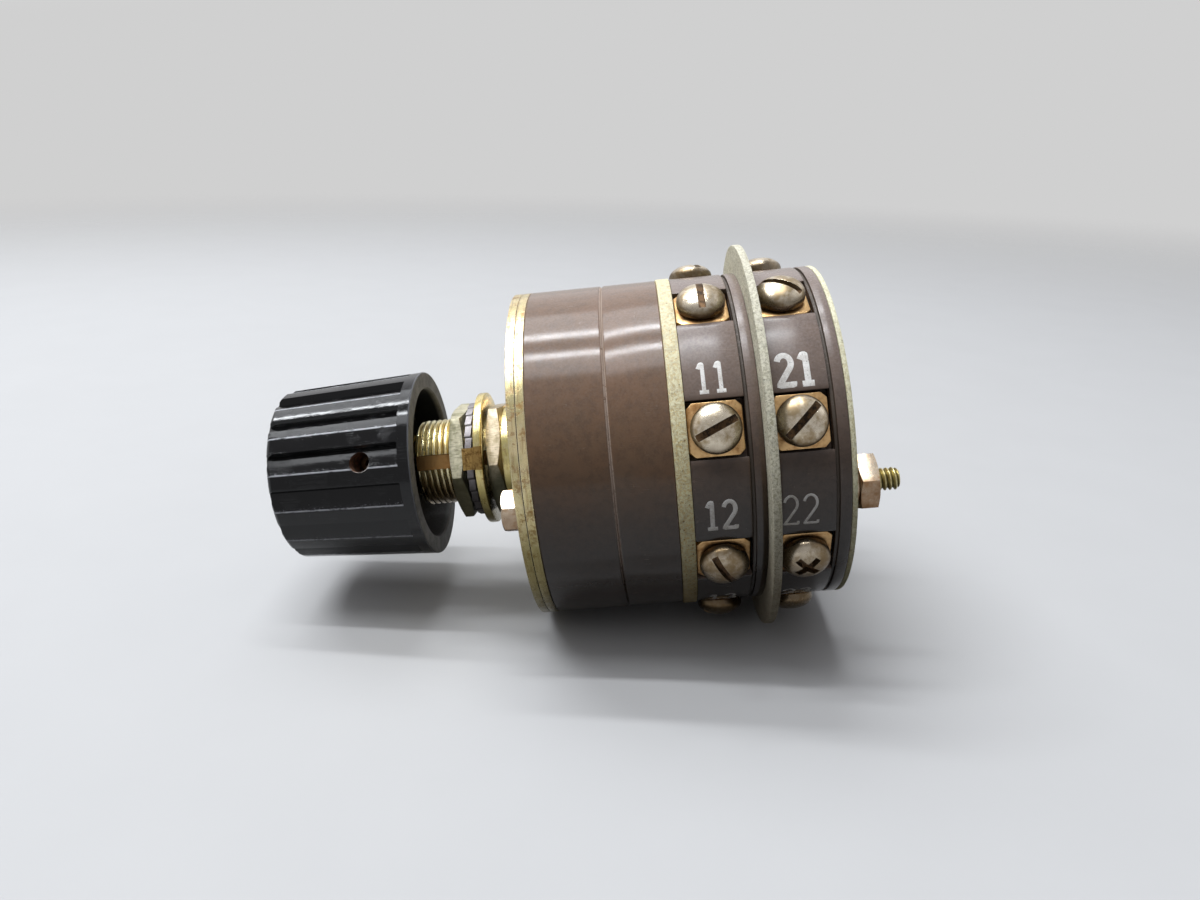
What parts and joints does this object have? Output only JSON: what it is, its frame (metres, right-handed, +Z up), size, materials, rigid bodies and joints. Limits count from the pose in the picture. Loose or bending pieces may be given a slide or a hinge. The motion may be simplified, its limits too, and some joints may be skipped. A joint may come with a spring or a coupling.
{
  "type": "rotary wiper switch",
  "caption": "Panel-mounted rotary wiper switch with a fluted black knob, a threaded bushing, a brown detent housing and stacked decks of screw terminals.",
  "frame": {"origin": "on the shaft's axis, in the plane where the panel bears on the locating washer", "axes": "+X along the shaft from the knob to the rear, +Z up, -Y towards the first row of terminals"},
  "size_m": [0.0807, 0.0518, 0.0518],
  "materials": {
    "black_phenolic": "worn semi-gloss moulded phenolic",
    "brown_phenolic": "glossy moulded phenolic, finely mottled",
    "purple_phenolic": "semi-gloss moulded phenolic",
    "tan_fibre": "pressed fibre, speckled edge",
    "green_fibre": "laminated fibre, matte",
    "brass": "tarnished bare brass",
    "gold_plate": "yellow passivated plating, iridescent",
    "zinc": "dull plated steel",
    "nickel": "tarnished nickel plating",
    "bronze": "browned plated brass",
    "steel": "turned steel"
  },
  "bodies": {
    "body": {"bushing": "brass", "panel_nut": "zinc", "lock_washer": "zinc", "locating_washer": "gold_plate", "backing_nut": "zinc", "front_plate": "gold_plate", "stop_plate": "gold_plate", "front_housing": "brown_phenolic", "detent_spring": "steel", "rear_housing": "brown_phenolic", "front_insulator": "tan_fibre", "middle_insulator": "green_fibre", "rear_insulator": "green_fibre", "through_bolt_near": "bronze", "through_bolt_far": "bronze", "bolt_nut_near": "bronze", "bolt_nut_far": "bronze", "deck_1_stator": "purple_phenolic", "deck_1_cover": "purple_phenolic", "contact_11": "brass", "contact_12": "brass", "contact_13": "brass", "contact_14": "brass", "contact_15": "brass", "contact_16": "brass", "contact_17": "brass", "contact_18": "brass", "terminal_screw_11": "nickel", "terminal_screw_12": "nickel", "terminal_screw_13": "nickel", "terminal_screw_14": "nickel", "terminal_screw_15": "nickel", "terminal_screw_16": "nickel", "terminal_screw_17": "nickel", "terminal_screw_18": "nickel", "deck_2_stator": "purple_phenolic", "deck_2_cover": "purple_phenolic", "contact_21": "brass", "contact_22": "brass", "contact_23": "brass", "contact_24": "brass", "contact_25": "brass", "contact_26": "brass", "contact_27": "brass", "contact_28": "brass", "terminal_screw_21": "nickel", "terminal_screw_22": "nickel", "terminal_screw_23": "nickel", "terminal_screw_24": "nickel", "terminal_screw_25": "nickel", "terminal_screw_26": "nickel", "terminal_screw_27": "nickel", "terminal_screw_28": "nickel"},
    "rotor": {"knob": "black_phenolic", "knob_insert": "brass", "set_screw": "steel", "shaft": "steel", "retaining_ring": "brass", "deck_1_rotor": "black_phenolic", "deck_2_rotor": "black_phenolic"}
  },
  "joints": [
    {"name": "knob_turn", "type": "hinge", "parent": "body", "child": "rotor", "pos_m": [0, 0, 0], "axis": [1, 0, 0], "range_deg": [-45, 90], "deforming": ["detent_spring"]}
  ]
}
